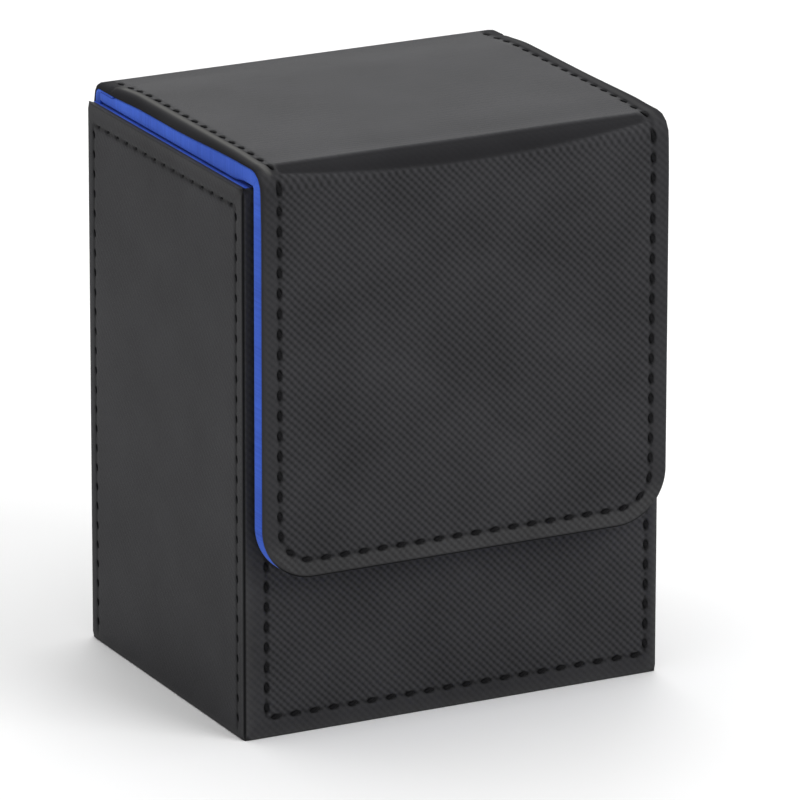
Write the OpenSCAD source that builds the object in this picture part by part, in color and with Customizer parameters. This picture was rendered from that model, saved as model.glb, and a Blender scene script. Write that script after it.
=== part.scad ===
// Card deck box: a stitched faux-leather box with a hinged lid and a magnetic front flap.
// Origin at the centre of the base, +Z up, flap towards -Y, +X to the right seen from the flap.

/* [Box] */
// Outside width, left to right
box_w = 80; // [74:1:100]
// Outside depth of the four walls, front to back
box_d = 61; // [45:1:90]
// Height of the four walls
box_h = 98; // [92:1:115]

/* [Layers] */
// Thickness of the faux leather
cover_t = 0.9; // [0.6:0.1:1.2]
// Thickness of the grey board inside the walls and the bottom
board_t = 1.5; // [1.4:0.1:2]
// Thickness of the suede lining
lining_t = 0.6; // [0.4:0.1:0.8]

/* [Lid and flap] */
// How far the lid and the flap stand in from each side of the box
lid_inset = 1.25; // [0.5:0.25:3]
// Thickness of the outer half of the lid and the flap: faux leather over thin foam
outer_t = 1.5; // [1.4:0.1:2]
// Thickness of the inner half of the lid and the flap: suede over a board
inner_t = 2.4; // [2:0.1:3]
// Gap between the closed lid and the top edges of the walls
lid_gap = 0.6; // [0.4:0.1:1]
// Gap between the closed flap and the front wall
flap_gap = 1.1; // [0.8:0.1:1.5]
// Height of the flap's lower edge above the base
flap_bottom = 29.6; // [20:0.2:45]
// Radius of the flap's two lower corners
flap_corner_r = 9.5; // [5:0.5:15]
// Inner radius of the fold between the lid and the flap
crease_r = 0.2; // [0.1:0.05:0.4]

/* [Finger notch] */
// Width of the notch in the front wall
notch_w = 27; // [22:1:32]
// Depth of the notch below the top of the wall
notch_depth = 46; // [30:1:55]
// Radius of the rounded shoulders at the top of the notch
shoulder_r = 9; // [4:0.5:12]

/* [Magnets] */
// Diameter of the four disc magnets
magnet_d = 12; // [8:1:14]
// Thickness of the magnets
magnet_t = 1; // [0.8:0.1:1.2]
// Distance from the centre line to each magnet
magnet_x = 21; // [18:1:26]
// Height of the magnets above the base
magnet_z = 43; // [40:1:46]

/* [Stitching] */
// Distance from one stitch to the next
stitch_pitch = 3.6; // [3:0.1:4.5]
// Length of thread that shows in each stitch
stitch_l = 2.4; // [1.8:0.1:2.8]
// Width of the thread
stitch_w = 0.6; // [0.4:0.1:0.8]
// How far the thread stands proud of the leather
stitch_h = 0.15; // [0.1:0.05:0.25]
// Distance of the stitches from the edges of the lid and the flap
lid_stitch_inset = 3.2; // [2.5:0.1:4]
// Distance of the stitches from the edges of the front and rear walls
wall_stitch_inset = 3.6; // [3:0.1:5]
// Distance of the side walls' stitches from the upright corners
side_stitch_inset = 2.7; // [2:0.1:4]

/* [Hidden] */
$fn = 96;

// Planes inside a wall, measured in from its outer face
under_cover = cover_t;
under_board = cover_t + board_t;
wall_t = cover_t + board_t + lining_t;
half_w = box_w / 2;
half_d = box_d / 2;
board_top = box_h - lining_t;

// The lid's layers, from its suede side up
lid_half_w = half_w - lid_inset;
lid_bottom = box_h + lid_gap;
lid_mid = lid_bottom + inner_t;
lid_top = lid_mid + outer_t;
foam_t = outer_t - cover_t;
lid_board_t = inner_t - lining_t;
// How far the boards and the foam stop short of the two folds
fold_margin = 3.5;

// The flap's layers, from its suede side out
flap_back = -half_d - flap_gap;
flap_mid = flap_back - inner_t;
flap_front = flap_mid - outer_t;

// Centres of the soft bend behind the lid and of the fold in front of it, as [y, z]
bend_outer_r = lid_top - box_h;
bend = [half_d - bend_outer_r, box_h];
fold = [flap_back + crease_r, lid_bottom - crease_r];

// Radial clearance around the magnets
magnet_play = 0.1;

leather = "#2f2f31";
suede = "#2c55d6";
greyboard = "#8c877d";
foam = "#3a3a3c";
thread = "#151516";
magnet = "#b8babd";

// ---- Helpers ----

// A block between two opposite corners
module span(low, high) {
    translate(low) cube(high - low);
}

// An outline drawn in X and Z, made t thick from the plane y towards +Y
module upright(y, t) {
    translate([0, y + t, 0]) rotate([90, 0, 0]) linear_extrude(t) children();
}

// An outline drawn in Y and Z, made t thick from the plane x towards +X
module sideways(x, t) {
    translate([x, 0, 0]) rotate([90, 0, 90]) linear_extrude(t) children();
}

// A quarter of a ring across the whole lid, between the radii inner and outer.
// turn is the angle in the Y-Z plane at which the quarter starts.
module quarter_ring(centre, inner, outer, turn) {
    translate([-lid_half_w, centre[0], centre[1]])
        rotate([90, 0, 90])
            rotate([0, 0, turn])
                difference() {
                    intersection() {
                        cylinder(r = outer, h = 2 * lid_half_w);
                        cube([outer, outer, 2 * lid_half_w]);
                    }
                    translate([0, 0, -1]) cylinder(r = inner, h = 2 * lid_half_w + 2);
                }
}

// The finger notch in X and Z, grown by g on every side
module notch_2d(g = 0) {
    r = notch_w / 2 + g;
    centre_z = box_h - notch_depth + notch_w / 2;
    translate([0, centre_z]) circle(r);
    translate([-r, centre_z]) square([2 * r, notch_depth]);
    for (side = [0, 1])
        mirror([side, 0])
            difference() {
                translate([0, box_h - shoulder_r])
                    square([notch_w / 2 + shoulder_r, 2 * shoulder_r]);
                translate([notch_w / 2 + shoulder_r, box_h - shoulder_r])
                    circle(shoulder_r - g);
            }
}

// The front wall behind its cover in X and Z, drawn in by g at the top and round the notch
module front_wall_2d(g = 0) {
    w = half_w - under_cover;
    difference() {
        translate([-w, under_cover]) square([2 * w, box_h - g - under_cover]);
        notch_2d(g);
    }
}

// The flap in X and Z, drawn in by g at its sides and lower edge, and by top_g at the fold
module flap_2d(g = 0, top_g = 0) {
    w = lid_half_w - g;
    r = flap_corner_r - g;
    low = flap_bottom + g;
    translate([-w, low + r]) square([2 * w, fold[1] - top_g - low - r]);
    translate([r - w, low]) square([2 * (w - r), 2 * r]);
    for (side = [-1, 1])
        translate([side * (w - r), low + r]) circle(r);
}

// Stitches along the straight line between two points of an outline
module stitch_line(from, to) {
    run = to - from;
    count = round(norm(run) / stitch_pitch);
    for (i = [0 : count - 1])
        translate(from + run * (i + 0.5) / count)
            rotate(atan2(run[1], run[0]))
                square([stitch_l, stitch_w], center = true);
}

// Stitches round the lower corner of the flap, centred on the corner's own centre
module stitch_corner(r) {
    count = round(r * PI / 2 / stitch_pitch);
    for (i = [0 : count - 1])
        rotate(-90 * (i + 0.5) / count)
            translate([r, 0])
                square([stitch_w, min(stitch_l, r)], center = true);
}

// Stitches down both sides and along the bottom of a wall, in X and Z
module wall_stitches_2d() {
    w = half_w - wall_stitch_inset;
    low = wall_stitch_inset;
    high = box_h - wall_stitch_inset;
    for (side = [-1, 1])
        stitch_line([side * w, low], [side * w, high]);
    stitch_line([-w, low], [w, low]);
}

// Stitches up both corners and along the top of a side wall, in Y and Z
module side_stitches_2d() {
    d = half_d - side_stitch_inset;
    high = box_h - wall_stitch_inset;
    for (side = [-1, 1])
        stitch_line([side * d, 0.5 * stitch_pitch], [side * d, high]);
    stitch_line([-d, high], [d, high]);
}

// Stitches round the sides and the lower edge of the flap, in X and Z
module flap_stitches_2d() {
    w = lid_half_w - lid_stitch_inset;
    r = flap_corner_r - lid_stitch_inset;
    low = flap_bottom + lid_stitch_inset;
    for (side = [-1, 1])
        stitch_line([side * w, low + r], [side * w, fold[1]]);
    for (side = [0, 1])
        mirror([side, 0]) translate([w - r, low + r]) stitch_corner(r);
    stitch_line([r - w, low], [w - r, low]);
}

// Stitches along both sides of the lid, in X and Y
module lid_stitches_2d() {
    w = lid_half_w - lid_stitch_inset;
    for (side = [-1, 1])
        stitch_line([side * w, fold[0]], [side * w, bend[0]]);
}

// Both discs of one pair of magnets, t thick from the plane y towards +Y
module magnet_pair(y, t, play = 0) {
    for (side = [-1, 1])
        translate([side * magnet_x, y + t, magnet_z])
            rotate([90, 0, 0]) cylinder(d = magnet_d + 2 * play, h = t);
}

// ---- Covers: faux leather ----

module bottom_cover() {
    color(leather)
        span([under_cover - half_w, under_cover - half_d, 0],
             [half_w - under_cover, half_d - under_cover, cover_t]);
}

module front_cover() {
    color(leather)
        upright(-half_d, cover_t)
            difference() {
                translate([-half_w, 0]) square([box_w, box_h]);
                notch_2d();
            }
}

module rear_cover() {
    color(leather)
        span([-half_w, half_d - cover_t, 0], [half_w, half_d, box_h]);
}

module side_cover() {
    color(leather)
        span([-half_w, under_cover - half_d, 0],
             [under_cover - half_w, half_d - under_cover, box_h]);
}

module left_cover() {
    side_cover();
}

module right_cover() {
    mirror([1, 0, 0]) side_cover();
}

// ---- Boards: the stiffener inside each wall ----

module bottom_board() {
    color(greyboard)
        span([under_board - half_w, under_board - half_d, under_cover],
             [half_w - under_board, half_d - under_board, under_board]);
}

module front_board() {
    color(greyboard)
        difference() {
            upright(under_cover - half_d, board_t) front_wall_2d(lining_t);
            magnet_pair(under_cover - half_d - 1, magnet_t + magnet_play + 1, magnet_play);
        }
}

module rear_board() {
    color(greyboard)
        span([under_cover - half_w, half_d - under_board, under_cover],
             [half_w - under_cover, half_d - under_cover, board_top]);
}

module side_board() {
    color(greyboard)
        span([under_cover - half_w, under_board - half_d, under_cover],
             [under_board - half_w, half_d - under_board, board_top]);
}

module left_board() {
    side_board();
}

module right_board() {
    mirror([1, 0, 0]) side_board();
}

// ---- Linings: suede on the inside, turned over the top edges of the boards ----

module bottom_lining() {
    color(suede)
        span([wall_t - half_w, wall_t - half_d, under_board],
             [half_w - wall_t, half_d - wall_t, wall_t]);
}

module front_lining() {
    w = half_w - under_board;
    color(suede) {
        upright(under_board - half_d, lining_t)
            difference() {
                translate([-w, under_board]) square([2 * w, box_h - under_board]);
                notch_2d();
            }
        upright(under_cover - half_d, board_t)
            difference() {
                front_wall_2d();
                front_wall_2d(lining_t);
            }
    }
}

module rear_lining() {
    w = half_w - under_board;
    color(suede) {
        span([-w, half_d - wall_t, under_board], [w, half_d - under_board, box_h]);
        span([under_cover - half_w, half_d - under_board, board_top],
             [half_w - under_cover, half_d - under_cover, box_h]);
    }
}

module side_lining() {
    color(suede) {
        span([under_board - half_w, wall_t - half_d, under_board],
             [wall_t - half_w, half_d - wall_t, box_h]);
        span([under_cover - half_w, under_board - half_d, board_top],
             [under_board - half_w, half_d - under_board, box_h]);
    }
}

module left_lining() {
    side_lining();
}

module right_lining() {
    mirror([1, 0, 0]) side_lining();
}

// ---- Box magnets and stitching ----

module box_magnets() {
    color(magnet) magnet_pair(under_cover - half_d, magnet_t);
}

module front_stitching() {
    color(thread) upright(-half_d - stitch_h, stitch_h) wall_stitches_2d();
}

module rear_stitching() {
    color(thread) upright(half_d, stitch_h) wall_stitches_2d();
}

module left_stitching() {
    color(thread) sideways(-half_w - stitch_h, stitch_h) side_stitches_2d();
}

module right_stitching() {
    color(thread) sideways(half_w, stitch_h) side_stitches_2d();
}

// ---- The soft bend behind the lid ----

module rear_hinge_cover() {
    color(leather) quarter_ring(bend, bend_outer_r - outer_t, bend_outer_r, 0);
}

module rear_hinge_lining() {
    color(suede)
        quarter_ring(bend, bend_outer_r - under_board, bend_outer_r - outer_t, 0);
}

// ---- Lid ----

// The space inside the lid's outer or inner half, g in from its two sides
module lid_core(z, t, g) {
    span([g - lid_half_w, fold[0] + fold_margin, z],
         [lid_half_w - g, bend[0] - fold_margin, z + t]);
}

module lid_cover() {
    color(leather)
        difference() {
            span([-lid_half_w, fold[0], lid_mid], [lid_half_w, bend[0], lid_top]);
            lid_core(lid_mid - 1, foam_t + 1, cover_t);
        }
}

module lid_padding() {
    color(foam) lid_core(lid_mid, foam_t, cover_t);
}

module lid_board() {
    color(greyboard) lid_core(lid_bottom + lining_t, lid_board_t, lining_t);
}

module lid_lining() {
    color(suede)
        difference() {
            span([-lid_half_w, fold[0], lid_bottom], [lid_half_w, bend[0], lid_mid]);
            lid_core(lid_bottom + lining_t, lid_board_t + 1, lining_t);
        }
}

module lid_stitching() {
    color(thread)
        for (z = [lid_top, lid_bottom - stitch_h])
            translate([0, 0, z]) linear_extrude(stitch_h) lid_stitches_2d();
}

// ---- The fold between the lid and the flap ----

module crease_cover() {
    color(leather)
        quarter_ring(fold, crease_r + inner_t, crease_r + inner_t + outer_t, 90);
}

module crease_lining() {
    color(suede) quarter_ring(fold, crease_r, crease_r + inner_t, 90);
}

// ---- Flap ----

module flap_cover() {
    color(leather)
        difference() {
            upright(flap_front, outer_t) flap_2d();
            upright(flap_front + cover_t, foam_t + 1) flap_2d(cover_t, fold_margin);
        }
}

module flap_padding() {
    color(foam) upright(flap_front + cover_t, foam_t) flap_2d(cover_t, fold_margin);
}

module flap_board() {
    color(greyboard)
        difference() {
            upright(flap_mid, lid_board_t) flap_2d(lining_t, fold_margin);
            magnet_pair(flap_mid - 1, magnet_t + magnet_play + 1, magnet_play);
        }
}

module flap_lining() {
    color(suede)
        difference() {
            upright(flap_mid, inner_t) flap_2d();
            upright(flap_mid - 1, lid_board_t + 1) flap_2d(lining_t, fold_margin);
        }
}

module flap_magnets() {
    color(magnet) magnet_pair(flap_mid, magnet_t);
}

module flap_stitching() {
    color(thread)
        for (y = [flap_front - stitch_h, flap_back])
            upright(y, stitch_h) flap_stitches_2d();
}

bottom_cover();
front_cover();
rear_cover();
left_cover();
right_cover();
bottom_board();
front_board();
rear_board();
left_board();
right_board();
bottom_lining();
front_lining();
rear_lining();
left_lining();
right_lining();
box_magnets();
front_stitching();
rear_stitching();
left_stitching();
right_stitching();
rear_hinge_cover();
rear_hinge_lining();
lid_cover();
lid_board();
lid_padding();
lid_lining();
lid_stitching();
crease_cover();
crease_lining();
flap_cover();
flap_board();
flap_padding();
flap_lining();
flap_magnets();
flap_stitching();
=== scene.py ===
import math

import bpy
import numpy as np
from mathutils import Matrix, Vector
from mathutils.geometry import delaunay_2d_cdt


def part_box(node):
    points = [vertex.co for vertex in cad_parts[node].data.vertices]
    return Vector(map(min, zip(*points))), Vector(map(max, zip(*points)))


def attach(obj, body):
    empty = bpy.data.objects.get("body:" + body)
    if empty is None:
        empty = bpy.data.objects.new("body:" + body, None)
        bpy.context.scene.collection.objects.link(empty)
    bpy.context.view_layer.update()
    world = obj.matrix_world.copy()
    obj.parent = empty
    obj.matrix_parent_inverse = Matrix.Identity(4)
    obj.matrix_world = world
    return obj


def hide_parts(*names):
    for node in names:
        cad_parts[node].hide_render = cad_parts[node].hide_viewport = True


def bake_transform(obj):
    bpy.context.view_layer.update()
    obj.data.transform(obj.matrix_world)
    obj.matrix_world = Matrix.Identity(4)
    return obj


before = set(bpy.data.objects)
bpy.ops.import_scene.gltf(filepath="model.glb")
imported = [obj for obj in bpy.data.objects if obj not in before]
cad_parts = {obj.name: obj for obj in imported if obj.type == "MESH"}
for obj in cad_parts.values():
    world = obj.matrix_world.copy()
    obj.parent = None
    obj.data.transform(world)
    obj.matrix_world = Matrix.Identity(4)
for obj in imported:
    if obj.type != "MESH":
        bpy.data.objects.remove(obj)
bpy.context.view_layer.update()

# A card deck box: faux leather outside, suede inside, a lid on a soft hinge and a front flap.
# Lengths are in millimetres and become metres where a mesh or a sheet is made. The two bends, the
# camera, the floor and the lights are in metres.
MM = 0.001


def box_mm(node):
    """The lowest and the highest corner of a CAD node."""
    low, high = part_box(node)
    return np.array(low) / MM, np.array(high) / MM


# ---- Sizes, read from the frame ----
front_low, front_high = box_mm("front_cover")
HALF_W = front_high[0]
WALL_H = front_high[2]
HALF_D = -front_low[1]
COVER_T = front_high[1] - front_low[1]
board_high = box_mm("front_board")[1]
BOARD_TOP = board_high[2]
LIP_BACK = -board_high[1]                 # half the depth between the inner faces of the boards
LINING_T = WALL_H - BOARD_TOP
INNER_D = LIP_BACK - LINING_T
INNER_W = HALF_W - (HALF_D - INNER_D)
FLOOR_Z = box_mm("bottom_lining")[1][2]
TURN_IN = HALF_D - INNER_D - COVER_T      # a board and its suede, which the suede is turned over

lid_low, lid_high = box_mm("lid_cover")
flap_low, flap_high = box_mm("flap_cover")
LID_HALF_W = lid_high[0]
LID_MID = lid_low[2]
OUTER_T = lid_high[2] - lid_low[2]
INNER_T = LID_MID - box_mm("lid_lining")[0][2]
LID_FRONT = lid_low[1]
FOLD_R = LID_MID - flap_high[2]           # radius of the fold's middle plane
FLAP_LEN = flap_high[2] - flap_low[2]
CORE_REAR = box_mm("lid_board")[1][1]
CORE_MARGIN = box_mm("lid_board")[0][1] - LID_FRONT

# Shapes that no CAD node's box tells
NOTCH_HALF_W = 13.5             # also the radius of the notch's round bottom
NOTCH_DEPTH = 46.0
NOTCH_SHOULDER = 9.0
FLAP_CORNER_R = 9.5
RIM_R = 1.25                    # rolled rim of the leather on the lid and the flap
SUEDE_RIM_R = 0.9
WALL_ROLL = 0.35                # rolled edge of the leather on the walls
LIP_ROLL = 0.5                  # rolled edge where the suede is turned over the boards
BASE_ROLL = 0.3                 # rolled edge of the leather and the suede of the bottom
BASE_GAP = 0.05                 # how far those two stop short of the walls
CORNER_GAP = 0.3                # how far a wall's leather stops short of the sharp corner
HINGE_R = 2.4                   # outside of the bend behind the lid
HINGE_DROP = 0.9                # how much lower the lid's leather lies at that bend
HINGE_LEATHER_T = 1.0
HINGE_SUEDE_T = 0.42            # where it runs on between the leather and the lid's board
LEATHER_SEAM_Y = 24.0           # butt joint of the two pieces of leather on the lid
LID_SUEDE_REAR = 27.6
LID_SUEDE_SAG = 0.3             # how much lower the lid's suede hangs than the CAD's

STITCH_PITCH = 3.6
STITCH_LEN = 1.95
STITCH_R = 0.4
SIDE_STITCH_R = 0.2             # the sides, the rear and the lid have finer thread
LID_STITCH_R = 0.3
THREAD_RISE = 0.1               # how far the thread stands out of the leather
STITCH_SLANT = math.radians(20)
LID_ROW = 3.2                   # stitches in from the rim of the lid and the flap
WALL_ROW = 3.6                  # stitches in from the edges of the walls, save the next two
FRONT_ROWS_U = (-35.7, 37.6)    # the front's two upright rows, not quite evenly placed
SIDE_ROW = 2.7                  # stitches in from the upright corners of a side
PLY_BULGE = 0.16                # how far each of a thread's two plies bulges, per radius
PLY_TWIST = 2.2                 # turn of the plies in half a stitch, in radians
THREAD_DIVE = 0.5               # how deep the ends of a stitch go

# The pressed band along the fold. Its start and its ends are lengths from the start of the arc.
BAND_START = 0.4
BAND_END = 3.65                 # halfway along the fold
BAND_END_SIDES = 1.95
BAND_DEPTH = 0.35
FOLD_DROP = 0.3                 # how much lower the leather lies at the fold

# Spacing of the points of a panel
EDGE_STEP = 1.2
ROLL_ANGLES = np.radians((12, 20, 30, 45, 60, 75, 90))
ROLL_END = 1.35                 # the rings of the edge end at this many roll radii
ROW_OFFSETS = (0, 0.2, -0.2, 0.42, -0.42, 0.68, -0.68, 1.0, -1.0, 1.5, -1.5)
ROW_CLEAR = 2.4                 # the plain grid keeps this far from a row of stitches
ROW_GAP = 0.14
LEVEL_STEP = 0.8
GRID = 3.0


# ---- Outlines in a panel's own plane ----

def fillet_loop(corners):
    """The points of a closed outline from its corners (u, v, radius), counterclockwise."""
    loop = []
    for i, (u, v, radius) in enumerate(corners):
        point = np.array((u, v), float)
        before = np.array(corners[i - 1][:2]) - point
        after = np.array(corners[(i + 1) % len(corners)][:2]) - point
        before, after = before / np.linalg.norm(before), after / np.linalg.norm(after)
        if radius == 0:
            loop.append(point)
            continue
        half = math.acos(np.clip(before @ after, -1, 1)) / 2
        middle = (before + after) / np.linalg.norm(before + after)
        centre = point + middle * radius / math.sin(half)
        first = point + before * radius / math.tan(half) - centre
        last = point + after * radius / math.tan(half) - centre
        start = math.atan2(first[1], first[0])
        turn = (math.atan2(last[1], last[0]) - start + math.pi) % (2 * math.pi) - math.pi
        count = max(math.ceil(abs(turn) / math.radians(15)), math.ceil(abs(turn) * radius / 0.5))
        for k in range(count + 1):
            angle = start + turn * k / count
            loop.append(centre + radius * np.array((math.cos(angle), math.sin(angle))))
    return np.array(loop)


def subdivide(loop, step):
    """The same outline with no stretch longer than step."""
    points = []
    for a, b in zip(loop, np.roll(loop, -1, axis=0)):
        count = max(1, math.ceil(np.linalg.norm(b - a) / step - 1e-6))
        points += [a + (b - a) * k / count for k in range(count)]
    return np.array(points)


def distance(points, line, closed=True):
    """Distance of each point from a line of straight stretches."""
    ends = np.roll(line, -1, axis=0) if closed else line[1:]
    best = np.full(len(points), 1e9)
    for a, b in zip(line, ends):
        run = b - a
        t = np.clip((points - a) @ run / max(run @ run, 1e-12), 0, 1)
        best = np.minimum(best, np.linalg.norm(points - a - t[:, None] * run, axis=1))
    return best


def inside(points, loop):
    """Whether each point lies inside a closed outline."""
    odd = np.zeros(len(points), bool)
    for a, b in zip(loop, np.roll(loop, -1, axis=0)):
        crosses = (a[1] > points[:, 1]) != (b[1] > points[:, 1])
        if crosses.any():
            at = a[0] + (points[:, 1] - a[1]) * (b[0] - a[0]) / (b[1] - a[1] + 1e-30)
            odd ^= crosses & (points[:, 0] < at)
    return odd


def inward(loop):
    """The direction into a counterclockwise outline at each of its points."""
    ahead = np.roll(loop, -1, axis=0) - loop
    behind = loop - np.roll(loop, 1, axis=0)
    along = ahead / np.linalg.norm(ahead, axis=1)[:, None]
    along += behind / np.linalg.norm(behind, axis=1)[:, None]
    along /= np.linalg.norm(along, axis=1)[:, None]
    return np.column_stack((-along[:, 1], along[:, 0]))


def inset_ring(points, loop, depth):
    """The outline's points moved in by depth, without those that another edge comes nearer to."""
    moved = points + depth * inward(points)
    return moved[distance(moved, loop) > 0.98 * depth]


def thin(points, gap):
    """The points without those that lie closer than about gap to an earlier one."""
    seen, kept = {}, []
    for point in points:
        cell = (math.floor(point[0] / gap), math.floor(point[1] / gap))
        around = [seen.get((cell[0] + i, cell[1] + j)) for i in (-1, 0, 1) for j in (-1, 0, 1)]
        if all(p is None or np.hypot(*(p - point)) > gap for p in around):
            seen[cell] = point
            kept.append(point)
    return np.array(kept).reshape(-1, 2)


def along_line(line, step):
    """Evenly spaced points along an open line, with the direction at each."""
    runs = np.diff(line, axis=0)
    lengths = np.linalg.norm(runs, axis=1)
    reach = np.concatenate(([0], np.cumsum(lengths)))
    count = max(1, round(reach[-1] / step))
    at = (np.arange(count) + 0.5) * reach[-1] / count
    which = np.clip(np.searchsorted(reach, at, side="right") - 1, 0, len(runs) - 1)
    part = (at - reach[which]) / lengths[which]
    return line[which] + runs[which] * part[:, None], runs[which] / lengths[which][:, None]


# ---- Where a panel's plane lies in space ----

def flat(origin, right, up):
    """Places (u, v, height) on a flat face: height stands out along right x up."""
    origin, right, up = (np.array(x, float) for x in (origin, right, up))
    out = np.cross(right, up)
    return lambda u, v, h: origin + np.outer(u, right) + np.outer(v, up) + np.outer(h, out)


def turned(start, heading, first, radius, side=1):
    """Places (u, s, height) along a profile in Y and Z: straight, a quarter turn, straight again.
    Height stands out on the outer side of the turn, or on its inner side where side is -1."""
    start, d = np.array(start, float), np.array(heading, float)
    out = np.array((d[1], -d[0]))

    def place(u, s, h):
        u, s, h = (np.asarray(x, float) for x in (u, s, h))
        phi = np.clip((s - first) / radius, 0, math.pi / 2)[:, None]
        normal = out * np.cos(phi) + d * np.sin(phi)
        ahead = d * np.cos(phi) - out * np.sin(phi)
        past = np.maximum(s - first - radius * math.pi / 2, 0)[:, None]
        point = start + d * np.minimum(s, first)[:, None] + radius * (normal - out)
        point = point + ahead * past + normal * (side * h)[:, None]
        return np.column_stack((-side * u, point))
    return place


# ---- Heights ----

def roll(d, radius):
    """How far a rolled edge falls away at the distance d from it."""
    inner = np.clip(radius - d, 0, radius)
    return np.sqrt(radius ** 2 - inner ** 2) - radius


def smooth(low, high, x):
    """0 up to low, 1 from high on, and a smooth rise between."""
    t = np.clip((x - low) / (high - low), 0, 1)
    return t * t * (3 - 2 * t)


def waves(u, v, size):
    """The slight unevenness of a hand-covered board."""
    broad = np.sin(u / 9 + 1.3) * np.sin(v / 13 + 0.4)
    return size * (broad + 0.5 * np.sin(u / 5.1 - v / 7.7))


def row_distance(points, rows):
    """Distance of each point from the nearest row of stitches."""
    return np.min([distance(points, row, False) for row in rows], axis=0)


def round_stitches(points, stitches, length, width):
    """For each stitch, the points near it and how far out they are: 1 on an oval round it."""
    for centre, along in stitches:
        near = np.abs(points - centre).max(axis=1) < 2
        off = points[near] - centre
        across = np.array((-along[1], along[0]))
        yield near, np.hypot(off @ along / length, off @ across / width)


def stitch_dents(u, v, stitches, rows, depth):
    """The groove that a row of stitches pulls into the leather, and the dent at each stitch."""
    points = np.column_stack((u, v))
    fall = 0.45 * depth * np.exp(-(row_distance(points, rows) / 0.5) ** 2)
    for near, out in round_stitches(points, stitches, 0.56 * STITCH_LEN, 0.45):
        fall[near] = np.maximum(fall[near], depth * (1 - smooth(0.5, 1.3, out)))
    return -fall


def stitch_shade(u, v, stitches, rows, line):
    """Painted shade: 1 in the holes that the stitches dive into, and line along the row between them."""
    points = np.column_stack((u, v))
    shade = line * np.exp(-(row_distance(points, rows) / 0.42) ** 2)
    for near, out in round_stitches(points, stitches, 1.15, 0.55):
        shade[near] = np.maximum(shade[near], 1 - smooth(0.75, 1.3, out))
    return shade


# ---- Meshes ----

def triangles(edge, within):
    """Triangles over an outline and the points in it, with the outline's points first."""
    points = np.vstack((edge, within))
    ring = [(i, (i + 1) % len(edge)) for i in range(len(edge))]
    found = delaunay_2d_cdt([Vector(p) for p in points], ring, [], 1, 1e-6)
    own = [origin[0] for origin in found[3]]
    return points, np.array([[own[k] for k in face] for face in found[2]])


def mesh_piece(name, points, faces, flat_uv, marks, material, sharp=50):
    """A piece from points in millimetres, with its leather or cloth coordinates and its marks."""
    mesh = bpy.data.meshes.new(name)
    mesh.from_pydata((np.asarray(points) * MM).tolist(), [], [list(map(int, f)) for f in faces])
    corner_vertex = np.zeros(len(mesh.loops), int)
    mesh.loops.foreach_get("vertex_index", corner_vertex)
    layer = mesh.uv_layers.new(name="flat")
    layer.data.foreach_set("uv", np.asarray(flat_uv, np.float32)[corner_vertex].ravel())
    for key, values in marks.items():
        attribute = mesh.attributes.new(key, "FLOAT", "POINT")
        attribute.data.foreach_set("value", np.asarray(values, np.float32))
    mesh.shade_smooth()
    mesh.set_sharp_from_angle(angle=math.radians(sharp))
    mesh.materials.append(material)
    piece = bpy.data.objects.new(name, mesh)
    bpy.context.scene.collection.objects.link(piece)
    return piece


def panel(name, corners, place, top, under, material, marks=None, roll_r=WALL_ROLL,
          rows=(), levels=(), steps=()):
    """A closed piece of sheet: top and under are its two surfaces' heights from (u, v, d),
    where d is the distance from the outline. rows are lines of stitches, levels are values of v
    that need points all the way across, and steps are depths at which under changes."""
    loop = fillet_loop(corners)
    edge = subdivide(loop, EDGE_STEP)
    depths = [*(roll_r * (1 - np.cos(ROLL_ANGLES))), roll_r * ROLL_END]
    rings = np.vstack([inset_ring(edge, loop, d) for d in depths])
    band = []
    for row in rows:
        for off in ROW_OFFSETS:
            at, along = along_line(row, 0.3 if abs(off) < 0.9 else 0.6)
            band.append(at + off * np.column_stack((-along[:, 1], along[:, 0])))
    low, high = loop.min(axis=0), loop.max(axis=0)
    across = np.arange(low[0], high[0], LEVEL_STEP)
    for level in levels:
        band.append(np.column_stack((across, np.full(len(across), level))))
    axes = [np.arange(low[k] + GRID / 2, high[k], GRID) for k in (0, 1)]
    spread = np.stack(np.meshgrid(*axes), axis=-1).reshape(-1, 2)
    if band:
        band = thin(np.vstack(band), ROW_GAP)
        for row in rows:
            spread = spread[distance(spread, row, False) > ROW_CLEAR]
        inner = np.vstack((band, thin(spread, GRID * 0.9)))
    else:
        inner = spread
    inner = inner[inside(inner, loop)]
    inner = inner[distance(inner, loop) > roll_r * ROLL_END + 0.2]
    points, faces = triangles(edge, np.vstack((rings, inner)))

    back = [inset_ring(edge, loop, d + off) for d in steps for off in (-0.02, 0.02)]
    for level in levels:
        back.append(np.column_stack((across, np.full(len(across), level))))
    back.append(spread)
    back = thin(np.vstack(back), 0.03)
    back = back[inside(back, loop)]
    back = back[distance(back, loop) > 0.05]
    back_points, back_faces = triangles(edge, back)

    count, base = len(edge), len(points)
    every = np.vstack((points, back_points))
    u, v = every.T
    d = distance(every, loop)
    d[:count] = 0  # the outline's own points, on top and underneath
    d[base:base + count] = 0
    height = np.concatenate((top(u, v, d)[:base], under(u, v, d)[base:]))
    ring = np.arange(count)
    ahead = (ring + 1) % count
    walls = np.column_stack((ring, base + ring, base + ahead, ahead))
    all_faces = [*faces, *(back_faces[:, ::-1] + base), *walls]
    made = {"worn": 1 - smooth(0.25, 1.2, d), "emboss": np.ones(len(u)),
            "pressed": np.zeros(len(u)), "matte": np.zeros(len(u))}
    if marks:
        made.update(marks(u, v, d))
    return mesh_piece(name, place(u, v, height), all_faces, every, made, material)


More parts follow.
